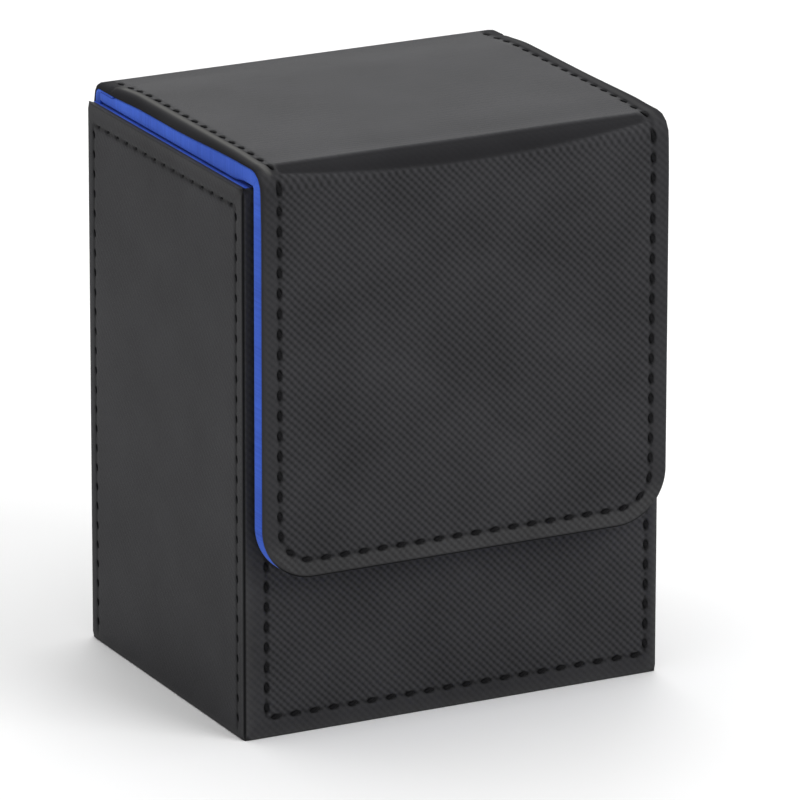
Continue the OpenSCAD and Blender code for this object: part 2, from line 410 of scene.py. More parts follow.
def strands(name, stitches, place, height, material, gauge=STITCH_R):
    """The thread that shows at each stitch: two twisted plies that dive into the leather.
    height(u, v) is the level of the leather, and gauge the thread's radius."""
    lengths, rounds = 9, 10
    t = np.linspace(-1, 1, lengths)
    phi = np.linspace(0, 2 * math.pi, rounds, endpoint=False)
    grid_t, grid_phi = np.repeat(t, rounds), np.tile(phi, lengths)
    radius = gauge * (1 + PLY_BULGE * np.cos(2 * (grid_phi - PLY_TWIST * grid_t)))
    rise = -THREAD_DIVE * np.abs(grid_t) ** 2.6
    points, uvs, faces = [], [], []
    turn = np.array(((math.cos(STITCH_SLANT), -math.sin(STITCH_SLANT)),
                     (math.sin(STITCH_SLANT), math.cos(STITCH_SLANT))))
    for centre, direction in stitches:
        along = turn @ direction
        across = np.array((-along[1], along[0]))
        u, v = (centre + np.outer(grid_t * STITCH_LEN / 2, along)
                + np.outer(radius * np.cos(grid_phi), across)).T
        middle = np.full(len(u), height(centre[:1], centre[1:])[0]) + THREAD_RISE - gauge
        h = middle + rise + radius * np.sin(grid_phi)
        first = sum(len(p) for p in points)
        points.append(place(u, v, h))
        uvs.append(np.column_stack((u, v)))
        for i in range(lengths - 1):
            for k in range(rounds):
                a, b = i * rounds + k, i * rounds + (k + 1) % rounds
                faces.append([first + a, first + b, first + b + rounds, first + a + rounds])
        faces.append([first + k for k in reversed(range(rounds))])
        faces.append([first + (lengths - 1) * rounds + k for k in range(rounds)])
    points, uvs = np.vstack(points), np.vstack(uvs)
    return mesh_piece(name, points, faces, uvs, {}, material, sharp=80)


def bar(name, profile, half_w, roll_r, material, uv_start):
    """A strip with one cross-section in Y and Z all the way across, rolled at both ends.
    uv_start is where its cloth coordinates begin."""
    loop = np.array(profile)
    into = inward(loop)
    turns = np.radians((0, 22.5, 45, 67.5, 90))
    ends = [(half_w - roll_r * (1 - math.sin(a)), roll_r * (1 - math.cos(a))) for a in turns]
    stations = [(-x, fall) for x, fall in reversed(ends)]
    stations += [(x, 0) for x in np.linspace(-half_w + 2, half_w - 2, 52)]
    stations += ends
    reach = np.concatenate(([0], np.cumsum(np.linalg.norm(np.diff(loop, axis=0), axis=1))))
    points, uvs, faces, count = [], [], [], len(loop)
    for x, fall in stations:
        section = loop + into * fall
        points.append(np.column_stack((np.full(count, x), section)))
        uvs.append(np.column_stack((np.full(count, x), reach + uv_start)))
    for i in range(len(stations) - 1):
        for k in range(count):
            a, b = i * count + k, i * count + (k + 1) % count
            faces.append([a, a + count, b + count, b])
    faces.append(list(range(count)))
    faces.append([(len(stations) - 1) * count + k for k in reversed(range(count))])
    points, uvs = np.vstack(points), np.vstack(uvs)
    return mesh_piece(name, points, faces, uvs, {}, material)


# ---- What a piece moves with and stands for ----

def ride(piece, body, node_name):
    """A stiff piece, fixed to one body."""
    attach(piece, body)
    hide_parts(node_name)


def bend(piece, bodies, span, slot, *node_names):
    """A soft piece: its place is baked into its mesh, and the CAD nodes it stands for are hidden."""
    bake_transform(piece)
    if node_names:
        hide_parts(*node_names)


# ---- Materials ----

def feed(tree, made, inputs):
    """Gives a node its inputs: each is another node's output or a value."""
    for key, value in inputs.items():
        if isinstance(value, bpy.types.NodeSocket):
            tree.links.new(value, made.inputs[key])
        else:
            made.inputs[key].default_value = value


def node(tree, kind, inputs=None, **settings):
    made = tree.nodes.new("ShaderNode" + kind)
    for key, value in settings.items():
        setattr(made, key, value)
    feed(tree, made, inputs or {})
    return made


def calc(tree, operation, *values):
    return node(tree, "Math", dict(enumerate(values)), operation=operation).outputs[0]


def scaled(tree, value, factor, plus):
    """value times factor, plus another."""
    return calc(tree, "MULTIPLY_ADD", value, factor, plus)


def mix_colour(tree, factor, first, second):
    first, second = ((*x, 1) if isinstance(x, tuple) else x for x in (first, second))
    return node(tree, "Mix", {0: factor, 6: first, 7: second}, data_type="RGBA").outputs[2]


def mark(tree, name):
    return node(tree, "Attribute", attribute_name=name).outputs["Fac"]


def noise(tree, place, scale, detail=2.0, roughness=0.5):
    inputs = {"Vector": place, "Scale": scale, "Detail": detail, "Roughness": roughness}
    return node(tree, "TexNoise", inputs).outputs["Fac"]


def new_material(name):
    material = bpy.data.materials.new(name)
    material.use_nodes = True
    tree = material.node_tree
    tree.nodes.clear()
    shader = node(tree, "BsdfPrincipled")
    out = node(tree, "OutputMaterial")
    tree.links.new(shader.outputs[0], out.inputs[0])
    return material, tree, shader


def bump(tree, shader, height, depth_mm):
    made = node(tree, "Bump", {"Height": height, "Strength": 1.0, "Distance": depth_mm * MM})
    tree.links.new(made.outputs[0], shader.inputs["Normal"])


def leather_material():
    """Black faux leather with a fine cross-hatched emboss at 45 degrees. Its marks are emboss, how
    strong the hatch is, a light mark for wear and painted highlights, a dark mark for pressed
    leather and painted shade, and matte."""
    pitch = 1.0  # between the lines of the hatch
    falling_depth, rising_depth = 0.31, 0.12
    material, tree, shader = new_material("faux_leather")
    cloth = node(tree, "UVMap", uv_map="flat").outputs[0]
    drift = node(tree, "TexNoise", {"Vector": cloth, "Scale": 0.22, "Detail": 1.0})
    moved = node(tree, "VectorMath", {0: drift.outputs["Color"], 1: (0.35, 0.35, 0.0)},
                 operation="MULTIPLY").outputs[0]
    place = node(tree, "VectorMath", {0: cloth, 1: moved}, operation="ADD").outputs[0]
    split = node(tree, "SeparateXYZ", {0: place}).outputs
    turn = 2 * math.pi / pitch / math.sqrt(2)
    total = calc(tree, "ADD", split[0], split[1])
    falling = calc(tree, "SINE", calc(tree, "MULTIPLY", total, turn))
    difference = calc(tree, "SUBTRACT", split[0], split[1])
    rising = calc(tree, "SINE", calc(tree, "MULTIPLY", difference, turn))
    hatch = scaled(tree, rising, rising_depth, calc(tree, "MULTIPLY", falling, falling_depth))
    emboss = calc(tree, "MULTIPLY", hatch, mark(tree, "emboss"))
    grain = noise(tree, cloth, 4.5, 3.0, 0.6)
    height = scaled(tree, grain, 0.4, emboss)
    bump(tree, shader, height, 0.16)

    patches = noise(tree, cloth, 0.06, 3.0)
    # the hatch's ridges are lighter than its grooves: partly the leather's own tone, partly a painted
    # glint on the ridges
    light = scaled(tree, emboss, 0.8, scaled(tree, patches, 0.6, 0.2))
    base = mix_colour(tree, light, (0.0125, 0.0125, 0.0135), (0.0495, 0.0495, 0.0535))
    # near black where pressed leather is darker and where shade is painted: in the corner seams, the
    # stitch holes, the fold's band and along the flap's lowest edge
    pressed = mix_colour(tree, mark(tree, "pressed"), base, (0.0065, 0.0065, 0.0072))
    # lighter where the leather is worn and where a highlight is painted on the crest beside the lid's
    # rim
    rubbed_and_highlit = calc(tree, "MULTIPLY", mark(tree, "worn"), scaled(tree, grain, 0.6, 0.2))
    matte = mark(tree, "matte")
    rough = scaled(tree, grain, 0.16, 0.42)
    feed(tree, shader, {"Base Color": mix_colour(tree, rubbed_and_highlit, pressed, (0.1, 0.099, 0.095)),
                        "Roughness": scaled(tree, matte, 0.25, rough),
                        "Specular IOR Level": scaled(tree, matte, -0.055, 0.075)})
    return material


def suede_material():
    """Royal blue microfibre suede: a short nap that lies lighter and darker in patches."""
    material, tree, shader = new_material("suede_lining")
    cloth = node(tree, "UVMap", uv_map="flat").outputs[0]
    stretched = node(tree, "VectorMath", {0: cloth, 1: (1.0, 0.45, 1.0)},
                     operation="MULTIPLY").outputs[0]
    patches = noise(tree, stretched, 0.12, 4.0, 0.62)
    nap = noise(tree, cloth, 2.2, 4.0, 0.7)
    fibre = noise(tree, cloth, 7.0, 2.0, 0.7)
    light = scaled(tree, nap, 0.6, calc(tree, "MULTIPLY", patches, 1.3))
    light = calc(tree, "SUBTRACT", light, 0.48)
    colour = mix_colour(tree, light, (0.009, 0.042, 0.36), (0.068, 0.19, 0.92))
    feed(tree, shader, {"Base Color": colour, "Specular IOR Level": 0.2,
                        "Roughness": scaled(tree, fibre, 0.15, 0.8),
                        "Sheen Weight": 0.35, "Sheen Roughness": 0.45,
                        "Sheen Tint": (0.35, 0.5, 1.0, 1)})
    bump(tree, shader, calc(tree, "ADD", nap, fibre), 0.07)
    return material


def thread_material(name, dark, light):
    """Polyester thread, uneven from its fibres."""
    material, tree, shader = new_material(name)
    place = node(tree, "TexCoord").outputs["Object"]
    fibre = noise(tree, place, 9000.0, 3.0)
    feed(tree, shader, {"Base Color": mix_colour(tree, fibre, dark, light),
                        "Roughness": scaled(tree, fibre, 0.2, 0.6),
                        "Specular IOR Level": 0.12})
    bump(tree, shader, fibre, 0.03)
    return material


def board_material():
    """Raw grey board, pulped from mixed paper."""
    material, tree, shader = new_material("greyboard")
    place = node(tree, "TexCoord").outputs["Object"]
    pulp = noise(tree, place, 900.0, 5.0, 0.7)
    specks = noise(tree, place, 2600.0, 2.0)
    colour = mix_colour(tree, pulp, (0.19, 0.175, 0.15), (0.34, 0.32, 0.28))
    colour = mix_colour(tree, calc(tree, "POWER", specks, 5.0), colour, (0.08, 0.07, 0.06))
    feed(tree, shader, {"Base Color": colour,
                        "Roughness": scaled(tree, pulp, 0.1, 0.85)})
    bump(tree, shader, pulp, 0.06)
    return material


def foam_material():
    """Thin dark foam with small open cells."""
    material, tree, shader = new_material("padding")
    place = node(tree, "TexCoord").outputs["Object"]
    cells = node(tree, "TexVoronoi", {"Vector": place, "Scale": 2200.0}).outputs["Distance"]
    colour = mix_colour(tree, cells, (0.02, 0.02, 0.02), (0.075, 0.075, 0.078))
    feed(tree, shader, {"Base Color": colour,
                        "Roughness": scaled(tree, cells, 0.1, 0.85)})
    bump(tree, shader, cells, 0.12)
    return material


def magnet_material():
    """Nickel plating with a fine grain and slight tarnish."""
    material, tree, shader = new_material("magnet")
    place = node(tree, "TexCoord").outputs["Object"]
    tarnish = noise(tree, place, 400.0, 4.0)
    colour = mix_colour(tree, tarnish, (0.52, 0.52, 0.53), (0.7, 0.69, 0.67))
    feed(tree, shader, {"Base Color": colour, "Metallic": 1.0,
                        "Roughness": scaled(tree, tarnish, 0.2, 0.16)})
    bump(tree, shader, noise(tree, place, 6000.0, 2.0), 0.01)
    return material


leather = leather_material()
suede = suede_material()
black_thread = thread_material("thread", (0.0015, 0.0015, 0.002), (0.006, 0.006, 0.007))
blue_thread = thread_material("thread_inside", (0.012, 0.045, 0.3), (0.03, 0.1, 0.5))
greyboard = board_material()
foam = foam_material()
nickel = magnet_material()
CAD_MATERIALS = {"_board": greyboard, "_magnets": nickel}
for name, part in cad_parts.items():
    for ending, material in CAD_MATERIALS.items():
        if name.endswith(ending):
            part.data.materials.clear()
            part.data.materials.append(material)


# ---- Camera, fitted to the photo ----

def make_camera():
    azimuth, elevation, tilt = (math.radians(x) for x in (-27.15, 17.87, 0.11))
    far, aim_height, shift_right, shift_up = 1.5425, 0.049, 0.00473, -0.00224
    back = Vector((math.sin(azimuth) * math.cos(elevation), -math.cos(azimuth) * math.cos(elevation),
                   math.sin(elevation)))
    level = Vector((math.cos(azimuth), math.sin(azimuth), 0))
    above = back.cross(level)
    right = math.cos(tilt) * level + math.sin(tilt) * above
    up = math.cos(tilt) * above - math.sin(tilt) * level
    eye = back * far + Vector((0, 0, aim_height)) + right * shift_right + up * shift_up
    data = bpy.data.cameras.new("camera")
    data.sensor_width = 36.0
    data.lens = 400.1
    data.clip_start, data.clip_end = 0.1, 20.0
    camera = bpy.data.objects.new("camera", data)
    bpy.context.scene.collection.objects.link(camera)
    camera.matrix_world = Matrix.Translation(eye) @ Matrix((right, up, back)).transposed().to_4x4()
    bpy.context.scene.camera = camera


make_camera()


# ---- Box: leather on the walls ----

WALL_EDGE = HALF_W - CORNER_GAP
SIDE_EDGE = HALF_D - CORNER_GAP


def notched(half, low):
    """A wall's outline with the finger notch cut down from its top edge."""
    w, r = NOTCH_HALF_W, NOTCH_SHOULDER
    bottom = WALL_H - NOTCH_DEPTH
    return [(-half, low, 0), (half, low, 0), (half, WALL_H, 0), (w, WALL_H, r), (w, bottom, w),
            (-w, bottom, w), (-w, WALL_H, r), (-half, WALL_H, 0)]


def rectangle(half, low, high, radius=0):
    """A rectangle's outline, with radius at its two corners at high."""
    return [(-half, low, 0), (half, low, 0), (half, high, radius), (-half, high, radius)]


def wall_rows(first, last, low, high, across):
    """Stitch rows of a wall: upright at the two values of u, and one across at its own height."""
    rows = [np.array(((u, low), (u, high))) for u in (first, last)]
    return rows + [np.array(((first, across), (last, across)))]


def stitches_on(rows):
    """The middle and the direction of each stitch."""
    return [s for row in rows for s in zip(*along_line(row, STITCH_PITCH))]


def seam_shade(u, edge):
    """Painted shade: 1 in the seam at an upright corner."""
    return 1 - smooth(0.03, 0.22, edge - np.abs(u))


def edge_wear(d):
    """Leather lighter along the edges of a wall, from wear."""
    return 0.3 * (1 - smooth(0.3, 1.0, d))


def wall_leather(name, corners, place, half, rows, node_name, emboss, gauge, dent, line):
    """A wall's leather and its stitches: half is the wall's half width, emboss the strength of the
    hatch, gauge the thread's radius, dent how deep it pulls, and line how much painted shade its
    row gets. The seam at an upright corner gets painted shade, and the leather is smoother outside
    the rows."""
    stitches = stitches_on(rows)
    holes = stitches if gauge == STITCH_R else ()  # finer thread leaves no holes that show

    def top(u, v, d):
        return roll(d, WALL_ROLL) + waves(u, v, 0.035) * smooth(0, 6, d) \
            + stitch_dents(u, v, stitches, rows, dent)

    def under(u, v, d):
        return -np.minimum(COVER_T, half - np.abs(u))

    def marks(u, v, d):
        seam = seam_shade(u, half - CORNER_GAP)
        beyond = np.maximum.reduce((rows[0][0][0] - u, u - rows[1][0][0], WALL_ROW - v))
        # painted shade in the corner seam, in the stitch holes and along the rows
        return {"emboss": emboss * (1 - 0.65 * smooth(0, 0.5, beyond)),
                "worn": edge_wear(d) * (1 - seam),
                "pressed": np.maximum(seam, stitch_shade(u, v, holes, rows, line))}

    piece = panel(name, corners, place, top, under, leather, rows=rows, marks=marks)
    ride(piece, "box", node_name)
    thread = strands(name.replace("leather", "stitches"), stitches, place,
                     lambda u, v: np.zeros(len(u)), black_thread, gauge)
    ride(thread, "box", node_name.replace("cover", "stitching"))
    return piece


SIDES = (("left", -1), ("right", 1))
ROW_TOP = WALL_H - WALL_ROW
front = wall_leather("front_leather", notched(WALL_EDGE, 0),
                     flat((0, -HALF_D, 0), (1, 0, 0), (0, 0, 1)), HALF_W,
                     wall_rows(*FRONT_ROWS_U, WALL_ROW, ROW_TOP, across=WALL_ROW),
                     "front_cover", emboss=1.0, gauge=STITCH_R, dent=0.35, line=0.3)
side_rows = wall_rows(SIDE_ROW - HALF_D, HALF_D - SIDE_ROW, 0.5 * STITCH_PITCH, ROW_TOP,
                      across=ROW_TOP)
for side, sign in SIDES:
    wall_leather(
        side + "_leather", rectangle(SIDE_EDGE, 0, WALL_H),
        flat((sign * HALF_W, 0, 0), (0, sign, 0), (0, 0, 1)), HALF_D, side_rows,
        side + "_cover", emboss=0.1, gauge=SIDE_STITCH_R, dent=0.15, line=0.85)

base_end = HALF_D - COVER_T - BASE_GAP
base = panel("bottom_leather", rectangle(HALF_W - COVER_T - BASE_GAP, -base_end, base_end),
             flat((0, 0, 0), (1, 0, 0), (0, -1, 0)), lambda u, v, d: roll(d, BASE_ROLL),
             lambda u, v, d: np.full(len(u), -COVER_T), leather, roll_r=BASE_ROLL,
             marks=lambda u, v, d: {"emboss": np.full(len(u), 0.5)})
ride(base, "box", "bottom_cover")


# ---- Leather behind the lid, from the rear wall over the soft hinge ----

LID_TOP = LID_MID + OUTER_T
HINGE_TOP = LID_TOP - HINGE_DROP
HINGE_Y, HINGE_Z = HALF_D - HINGE_R, HINGE_TOP - HINGE_R
HINGE_BEND = dict(start=(0, 0.03065, 0.09915), end=(0, 0.0279, 0.1019))  # in metres
HINGE_ARC_END = HINGE_Z + HINGE_R * math.pi / 2
REAR_LEN = HINGE_ARC_END + HINGE_Y - LEATHER_SEAM_Y
NECK = WALL_H - 0.6  # above it the leather is as wide as the lid
rear_place = turned((HALF_D, 0), (0, 1), HINGE_Z, HINGE_R)
NECK_R = 0.3
rear_corners = [(-WALL_EDGE, 0, 0), (WALL_EDGE, 0, 0), (WALL_EDGE, NECK, NECK_R),
                (LID_HALF_W, NECK, NECK_R), (LID_HALF_W, REAR_LEN, 0), (-LID_HALF_W, REAR_LEN, 0),
                (-LID_HALF_W, NECK, NECK_R), (-WALL_EDGE, NECK, NECK_R)]
LID_ROW_U = LID_HALF_W - LID_ROW
rear_rows = wall_rows(WALL_ROW - HALF_W, HALF_W - WALL_ROW, WALL_ROW, ROW_TOP, across=WALL_ROW)
for u in (-LID_ROW_U, LID_ROW_U):
    rear_rows.append(np.array(((u, HINGE_ARC_END + 0.3), (u, REAR_LEN - 0.2))))
rear_stitches = stitches_on(rear_rows)


def lid_drop(y):
    """How much lower than level the lid's leather lies towards the hinge."""
    return HINGE_DROP * smooth(14, HINGE_Y, y)


def rear_free(u, s):
    """Distance in from the rear leather's sides and its bottom edge."""
    return np.maximum(np.minimum(np.where(s < NECK, WALL_EDGE, LID_HALF_W) - np.abs(u), s), 0)


def rear_level(u, s):
    """Height of the rear leather, which climbs from the bend up to the lid."""
    return HINGE_DROP - lid_drop(HINGE_Y - np.maximum(s - HINGE_ARC_END, 0))


def past_wall(s):
    """0 on the rear wall and 1 from the bend on."""
    return smooth(WALL_H - 1, WALL_H + 2, s)


def rear_top(u, s, d):
    on_lid = past_wall(s)
    free = rear_free(u, s)
    rise = rear_level(u, s)
    rim = roll(free, np.minimum(RIM_R, rise + HINGE_LEATHER_T - 0.08))
    edge = roll(free, WALL_ROLL) * (1 - on_lid) + rim * on_lid
    return edge + rise + waves(u, s, 0.035) * smooth(0, 6, free) * (1 - on_lid) \
        + stitch_dents(u, s, rear_stitches, rear_rows, 0.3)


def rear_under(u, s, d):
    on_lid = past_wall(s)
    wall = -np.minimum(COVER_T, HALF_W - np.abs(u))
    return wall * (1 - on_lid) - HINGE_LEATHER_T * on_lid


def rear_marks(u, s, d):
    on_wall = s < NECK
    seam = seam_shade(u, WALL_EDGE) * on_wall
    free = rear_free(u, s)
    # painted highlight along a crest beside the rim
    painted_crest_highlight = 0.2 * np.exp(-((free - 2.1) / 0.55) ** 2)
    rubbed_and_highlit = np.where(on_wall, edge_wear(free), painted_crest_highlight)
    margin = np.where(on_wall, 0, 1 - smooth(LID_ROW - 0.5, LID_ROW, free))
    shade = stitch_shade(u, s, rear_stitches, rear_rows, 0.4)
    # painted shade in the corner seam and the stitch holes; the lid's margin is darker
    return {"emboss": 0.1 + 0 * u, "worn": rubbed_and_highlit * (1 - seam), "matte": margin,
            "pressed": np.maximum.reduce((seam, shade, 0.25 * margin))}


rear = panel("rear_leather", rear_corners, rear_place, rear_top, rear_under, leather,
             rows=rear_rows, levels=np.arange(WALL_H - 1, REAR_LEN - 0.2, 0.25), marks=rear_marks)
bend(rear, ("box", "lid"), HINGE_BEND, "faux_leather", "rear_cover", "rear_hinge_cover")
rear_thread = strands("rear_stitches", rear_stitches, rear_place, rear_level, black_thread,
                      LID_STITCH_R)
bend(rear_thread, ("box", "lid"), HINGE_BEND, "thread", "rear_stitching")


# ---- Lid and flap: one skin of leather outside, one of suede inside ----

LID_LEN = LEATHER_SEAM_Y - LID_FRONT
ARC = FOLD_R * math.pi / 2
SKIN_LEN = LID_LEN + ARC + FLAP_LEN
SUEDE_START = LEATHER_SEAM_Y - LID_SUEDE_REAR
skin_place = turned((LEATHER_SEAM_Y, LID_MID), (-1, 0), LID_LEN, FOLD_R)
suede_place = turned((LEATHER_SEAM_Y, LID_MID), (-1, 0), LID_LEN, FOLD_R, side=-1)
FOLD_BEND = dict(start=(0, -0.0329, 0.1025), end=(0, -0.0355, 0.0999))  # in metres
CORE_START = LEATHER_SEAM_Y - CORE_REAR  # where the lid's foam and board begin
CORE_END = LID_LEN - CORE_MARGIN
FLAP_CORE_START = LID_LEN + ARC + CORE_MARGIN


def flap_outline(start):
    """The outline of the lid and the flap together, with the flap's round corners at its end."""
    return rectangle(LID_HALF_W, start, SKIN_LEN, FLAP_CORNER_R)


def flap_row(start):
    """The line of stitches down one side, round the flap and up the other side."""
    r = FLAP_CORNER_R - LID_ROW
    low = SKIN_LEN - LID_ROW
    parts = 12  # straight stretches round each corner
    line = [(LID_ROW_U, start)]
    for k in range(parts + 1):
        angle = math.pi / 2 * k / parts
        line.append((LID_ROW_U - r + r * math.cos(angle), low - r + r * math.sin(angle)))
    line += [(-u, v) for u, v in reversed(line)]
    return np.array(line)


skin_row = flap_row(0.2)
skin_stitches = list(zip(*along_line(skin_row, STITCH_PITCH)))
suede_row = flap_row(1.0)
suede_stitches = [s for s in skin_stitches if s[0][1] > 2.5]


def core(s, free, edge):
    """Whether the foam and the board lie there: not over the fold, nor along the rim."""
    lid_part = (s > CORE_START) & (s < CORE_END)
    return (lid_part | (s > FLAP_CORE_START)) & (free > edge)


def rim_height(s):
    """Where the leather ends and the suede begins along the rim, out from the middle plane."""
    return -0.4 + 0.45 * smooth(0, 14, s) + 0.65 * smooth(24, 50, s) \
        + 0.35 * smooth(LID_LEN, LID_LEN + 12, s)


def band_end(u):
    """Lower edge of the pressed band, which is lowest halfway and rises to the rows of stitches."""
    lower = np.clip(1 - (u / LID_ROW_U) ** 2, 0, 1)
    return LID_LEN + BAND_END_SIDES + (BAND_END - BAND_END_SIDES) * lower


def band_mask(u, s, soft):
    """1 in the pressed band of the fold, between the two rows of stitches. Its edges are 2 soft wide."""
    start, end = LID_LEN + BAND_START, band_end(u)
    between = 1 - smooth(LID_ROW_U - 1.2, LID_ROW_U - 0.4, np.abs(u))
    within = smooth(start - soft, start + soft, s) * (1 - smooth(end - soft, end + soft, s))
    return within * between


def skin_free(u, s, d):
    """Distance from the rim, which the butt joint at the rear is not part of."""
    return np.where(s < 12, LID_HALF_W - np.abs(u), d)


def skin_level(u, s):
    """Height of the leather on the lid and the flap: lower towards the hinge and at the fold."""
    fold = smooth(LID_LEN - 9, LID_LEN - 1, s)
    past_fold = smooth(LID_LEN + 1, LID_LEN + ARC, s)
    return OUTER_T - lid_drop(LEATHER_SEAM_Y - s) - FOLD_DROP * fold * (1 - past_fold)


def skin_top(u, s, d):
    free = skin_free(u, s, d)
    level = skin_level(u, s)
    edge_r = np.minimum(RIM_R, level - rim_height(s) - 0.08)
    return level + roll(free, edge_r) + waves(u, s, 0.04) * smooth(2, 10, free) * smooth(0, 8, s) \
        - BAND_DEPTH * band_mask(u, s, 0.4) + stitch_dents(u, s, skin_stitches, [skin_row], 0.35)


def core_height(s):
    """Top of the foam: it thins out towards the hinge."""
    return OUTER_T - COVER_T - 0.6 * lid_drop(LEATHER_SEAM_Y - s)


def skin_under(u, s, d):
    free = skin_free(u, s, d)
    rim = rim_height(s)
    plain = np.where(free < COVER_T, rim, np.minimum(rim, 0))
    return np.where(core(s, free, COVER_T), core_height(s), plain)


def skin_marks(u, s, d):
    """The lid's margin is smoother, duller and darker than its middle, with a painted highlight on a
    crest beside the rim, strongest along its left side. The flap's lower margin is lighter, and its
    lowest edge gets painted shade."""
    free = skin_free(u, s, d)
    on_flap = smooth(band_end(u) - 0.1, band_end(u) + 0.3, s)
    margin = 1 - smooth(LID_ROW - 0.5, LID_ROW, free)
    lid_margin = margin * (1 - on_flap)
    # painted highlight along a crest beside the rim, strongest on the left side, where the light catches
    # it
    painted_crest_highlight = np.exp(-((free - 1.9) / 0.6) ** 2) * np.where(u > 0, 1.7, 0.4) * (1 - on_flap)
    low = smooth(SKIN_LEN - 8, SKIN_LEN - 4, s)
    # painted shade along the flap's lowest edge, where it rolls under towards the front wall
    lowest = (1 - smooth(0.2, 0.5, d)) * smooth(SKIN_LEN - 5, SKIN_LEN - 1, s)
    band = band_mask(u, s, 0.25)
    shade = stitch_shade(u, s, skin_stitches, [skin_row], 0.3)
    return {"emboss": (0.1 + 0.9 * on_flap) * (1 - 0.6 * margin * (1 - low)) * smooth(0.2, 0.7, d),
            "worn": np.maximum(painted_crest_highlight, 0.3 * margin * low * (1 - lowest)) * (1 - shade),
            # painted shade in the fold's band, in the stitch holes and along the flap's lowest edge; the
            # lid's margin is darker
            "pressed": np.maximum.reduce((0.55 * band, shade, 0.25 * lid_margin, lowest)),
            "matte": np.maximum.reduce((lid_margin * (1 - 0.3 * painted_crest_highlight), 0.75 * band, lowest))}


FOLD_LEVELS = np.arange(LID_LEN - 4, LID_LEN + ARC + 4, 0.25)
STEP_LEVELS = [x + off for x in (CORE_START, CORE_END, FLAP_CORE_START) for off in (-0.03, 0.03)]
SKIN_LEVELS = [*FOLD_LEVELS, *STEP_LEVELS]
skin = panel("lid_flap_leather", flap_outline(0), skin_place, skin_top, skin_under, leather,
             marks=skin_marks, roll_r=RIM_R, rows=[skin_row], levels=SKIN_LEVELS, steps=(COVER_T,))
bend(skin, ("lid", "flap"), FOLD_BEND, "faux_leather", "lid_cover", "crease_cover", "flap_cover")


def suede_top(u, s, d):
    fold = smooth(LID_LEN - 2.5, LID_LEN, s) * (1 - smooth(LID_LEN + ARC, LID_LEN + ARC + 2.5, s))
    on_lid = 1 - smooth(LID_LEN - 7, LID_LEN - 3, s)
    rim_r = SUEDE_RIM_R - 0.45 * on_lid
    plain = INNER_T + LID_SUEDE_SAG * on_lid + roll(d, rim_r)
    uneven = waves(u, s, 0.03) * smooth(2, 10, d) * (1 - fold)
    return plain + uneven + stitch_dents(u, s, suede_stitches, [suede_row], 0.25) * (1 - fold)


def suede_under(u, s, d):
    """The side towards the leather: it leaves room for the board, and for the hinge's own suede."""
    hinge_room = HINGE_LEATHER_T + HINGE_SUEDE_T + 0.08 - (OUTER_T - HINGE_DROP)
    rim = -rim_height(s) - roll(d, 0.45)
    plain = np.where(d < LINING_T, rim, np.maximum(rim, 0))
    beside_core = np.where(core(s, d, LINING_T), INNER_T - LINING_T, plain)
    return np.where(s < CORE_START, hinge_room, beside_core)


lining = panel("lid_flap_suede", flap_outline(SUEDE_START), suede_place, suede_top, suede_under, suede,
               roll_r=SUEDE_RIM_R, rows=[suede_row], levels=SKIN_LEVELS,
               steps=(0.05, 0.15, 0.3, 0.45, LINING_T))
bend(lining, ("lid", "flap"), FOLD_BEND, "suede_lining",
     "lid_lining", "crease_lining", "flap_lining")

MIDDLE = LID_LEN + ARC / 2
lid_stitches = [s for s in skin_stitches if s[0][1] < MIDDLE]
flap_stitches = [s for s in skin_stitches if s[0][1] >= MIDDLE]
inner_stitches = [s for s in suede_stitches if abs(s[0][1] - MIDDLE) > 3]  # none in the fold
thread = strands("lid_stitches", lid_stitches, skin_place, skin_level, black_thread, LID_STITCH_R)
bend(thread, ("lid", "flap"), FOLD_BEND, "thread", "lid_stitching")
thread = strands("flap_stitches", flap_stitches, skin_place, skin_level, black_thread)
bend(thread, ("lid", "flap"), FOLD_BEND, "thread", "flap_stitching")
thread = strands("lid_flap_stitches_inside", inner_stitches, suede_place,
                 lambda u, v: np.full(len(u), INNER_T), blue_thread, LID_STITCH_R)
bend(thread, ("lid", "flap"), FOLD_BEND, "thread")


# ---- Foam under the leather of the lid and the flap ----

def foam_pad(name, corners, node_name, body):
    gap = 0.03  # to the leather above it and the board below it
    piece = panel(name, corners, skin_place, lambda u, s, d: core_height(s) - gap + roll(d, 0.15),
                  lambda u, s, d: np.full(len(u), gap), foam, roll_r=0.15)
    ride(piece, body, node_name)


RIM_GAP, END_GAP = 0.06, 0.1  # how far the foam stops short of the leather
PAD_W = LID_HALF_W - COVER_T - RIM_GAP
foam_pad("lid_foam", rectangle(PAD_W, CORE_START + END_GAP, CORE_END - END_GAP),
         "lid_padding", "lid")
foam_pad("flap_foam", rectangle(PAD_W, FLAP_CORE_START + END_GAP, SKIN_LEN - COVER_T - RIM_GAP,
                                FLAP_CORNER_R - COVER_T), "flap_padding", "flap")


# ---- Box: suede inside the walls, turned over the boards ----

def without_wear_or_highlight(u, v, d):
    return {"worn": 0 * u}


def wall_suede(name, corners, place, node_name, lip_edges):
    """lip_edges(u, v) is the distance from the edges that the suede is turned over."""
    def top(u, v, d):
        return roll(np.maximum(lip_edges(u, v), 0), LIP_ROLL) + waves(u, v, 0.03) * smooth(1, 8, d)

    def under(u, v, d):
        return np.where(lip_edges(u, v) < LINING_T, -TURN_IN + 0.02, -LINING_T)

    piece = panel(name, corners, place, top, under, suede, roll_r=LIP_ROLL, steps=(LINING_T,),
                  marks=without_wear_or_highlight)
    ride(piece, "box", node_name)
    return piece


def top_edge(u, v):
    return WALL_H - v


LINING_FOOT = FLOOR_Z - LINING_T
front_corners = notched(INNER_W, LINING_FOOT)
open_line = fillet_loop(front_corners)[2:]  # without the two corners at the foot


